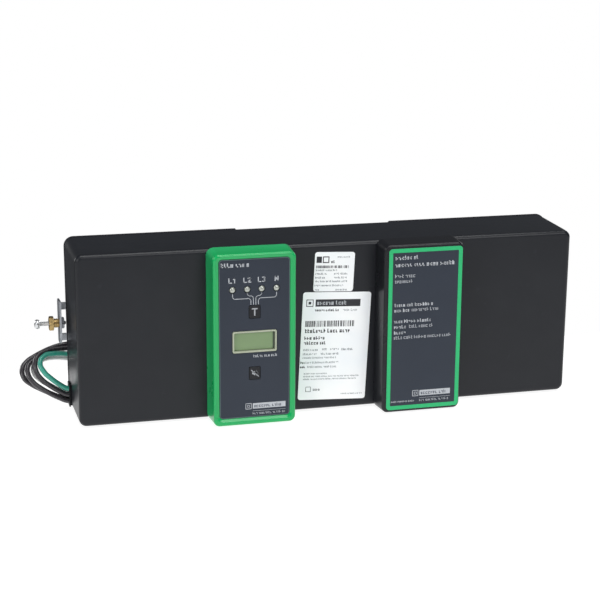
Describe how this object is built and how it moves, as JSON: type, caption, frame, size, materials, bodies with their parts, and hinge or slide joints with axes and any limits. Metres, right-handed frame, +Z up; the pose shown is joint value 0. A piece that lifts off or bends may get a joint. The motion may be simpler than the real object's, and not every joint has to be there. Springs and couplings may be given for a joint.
{
  "type": "surge protective device",
  "caption": "Panel surge protective device: long shallow black housing, green display module with status lamps and counter window, label pod, side bracket and loose leads",
  "frame": {"origin": "middle of the underside of the housing and its modules, without the leads", "axes": "+X along the housing from the bracket end to the far end, +Y from the display side to the back, +Z up as it stands on its long edge"},
  "size_m": [0.4562, 0.1185, 0.1436],
  "materials": {
    "black_shell": "satin moulded",
    "black_plastic": "satin moulded",
    "bezel_green": "satin moulded",
    "slate_overlay": "printed film",
    "lcd_glass": "reflective display",
    "cream_frame": "satin",
    "pearl_lens": "diffused lens",
    "paper_label": "printed film",
    "zinc_steel": "zinc plated",
    "steel_bright": "nickel plated",
    "brass": "turned",
    "copper": "bare copper",
    "circuit_board": "solder mask",
    "varistor_block": "potted",
    "fuse_ceramic": "ceramic body with caps",
    "soft_rubber": "matt",
    "ribbon_grey": "flat cable",
    "lead_black": "nylon jacket",
    "lead_white": "nylon jacket",
    "lead_green": "nylon jacket"
  },
  "bodies": {
    "housing": {"front_cover": "black_shell", "base_plate": "black_plastic", "display_bezel": "bezel_green", "label_pod": "black_plastic", "display_overlay": "slate_overlay", "lcd_frame": "cream_frame", "lcd_panel": "lcd_glass", "test_switch": "black_plastic", "mute_switch": "black_plastic", "display_board": "circuit_board", "alarm_buzzer": "black_plastic", "display_ribbon": "ribbon_grey", "pod_label": "slate_overlay", "rating_label_large": "paper_label", "rating_label_small": "paper_label", "main_board": "circuit_board", "neutral_bar": "copper", "lead_terminals": "black_plastic", "side_bracket": "zinc_steel", "bracket_bush": "brass", "bush_nut": "zinc_steel", "screw_insert": "brass", "wire_grommet": "soft_rubber", "lead_black_1": "lead_black", "lead_black_2": "lead_black", "lead_black_3": "lead_black", "lead_white": "lead_white", "lead_green": "lead_green", "cover_screw_1": "steel_bright", "status_led_1": "pearl_lens", "surge_module_1": "varistor_block", "surge_fuse_1": "fuse_ceramic", "board_standoff_1": "zinc_steel", "cover_screw_2": "steel_bright", "status_led_2": "pearl_lens", "surge_module_2": "varistor_block", "surge_fuse_2": "fuse_ceramic", "board_standoff_2": "zinc_steel", "cover_screw_3": "steel_bright", "status_led_3": "pearl_lens", "surge_module_3": "varistor_block", "surge_fuse_3": "fuse_ceramic", "board_standoff_3": "zinc_steel", "cover_screw_4": "steel_bright", "status_led_4": "pearl_lens", "surge_module_4": "varistor_block", "surge_fuse_4": "fuse_ceramic", "board_standoff_4": "zinc_steel", "bracket_rivet_1": "zinc_steel", "bracket_rivet_2": "zinc_steel"},
    "test_button": {"test_button": "black_plastic"},
    "mute_button": {"mute_button": "black_plastic"},
    "screw_washer": {"screw_washer": "steel_bright"},
    "clamp_screw": {"clamp_screw": "steel_bright"}
  },
  "joints": [
    {"name": "test_button_press", "type": "slide", "parent": "housing", "child": "test_button", "axis": [0, 1, 0], "range_m": [0, 0.0008], "stiffness_N_per_m": 800},
    {"name": "mute_button_press", "type": "slide", "parent": "housing", "child": "mute_button", "axis": [0, 1, 0], "range_m": [0, 0.0008], "stiffness_N_per_m": 800},
    {"name": "screw_advance", "type": "slide", "parent": "housing", "child": "screw_washer", "axis": [1, 0, 0], "range_m": [0, 0.0072]},
    {"name": "screw_turn", "type": "hinge", "parent": "screw_washer", "child": "clamp_screw", "pos_m": [-0.1935, 0.0326, 0.0744], "axis": [1, 0, 0], "range_deg": [0, 3240]}
  ],
  "couplings": [
    {"joint": "screw_turn", "follows": "screw_advance", "rad_per_m": 7854}
  ]
}
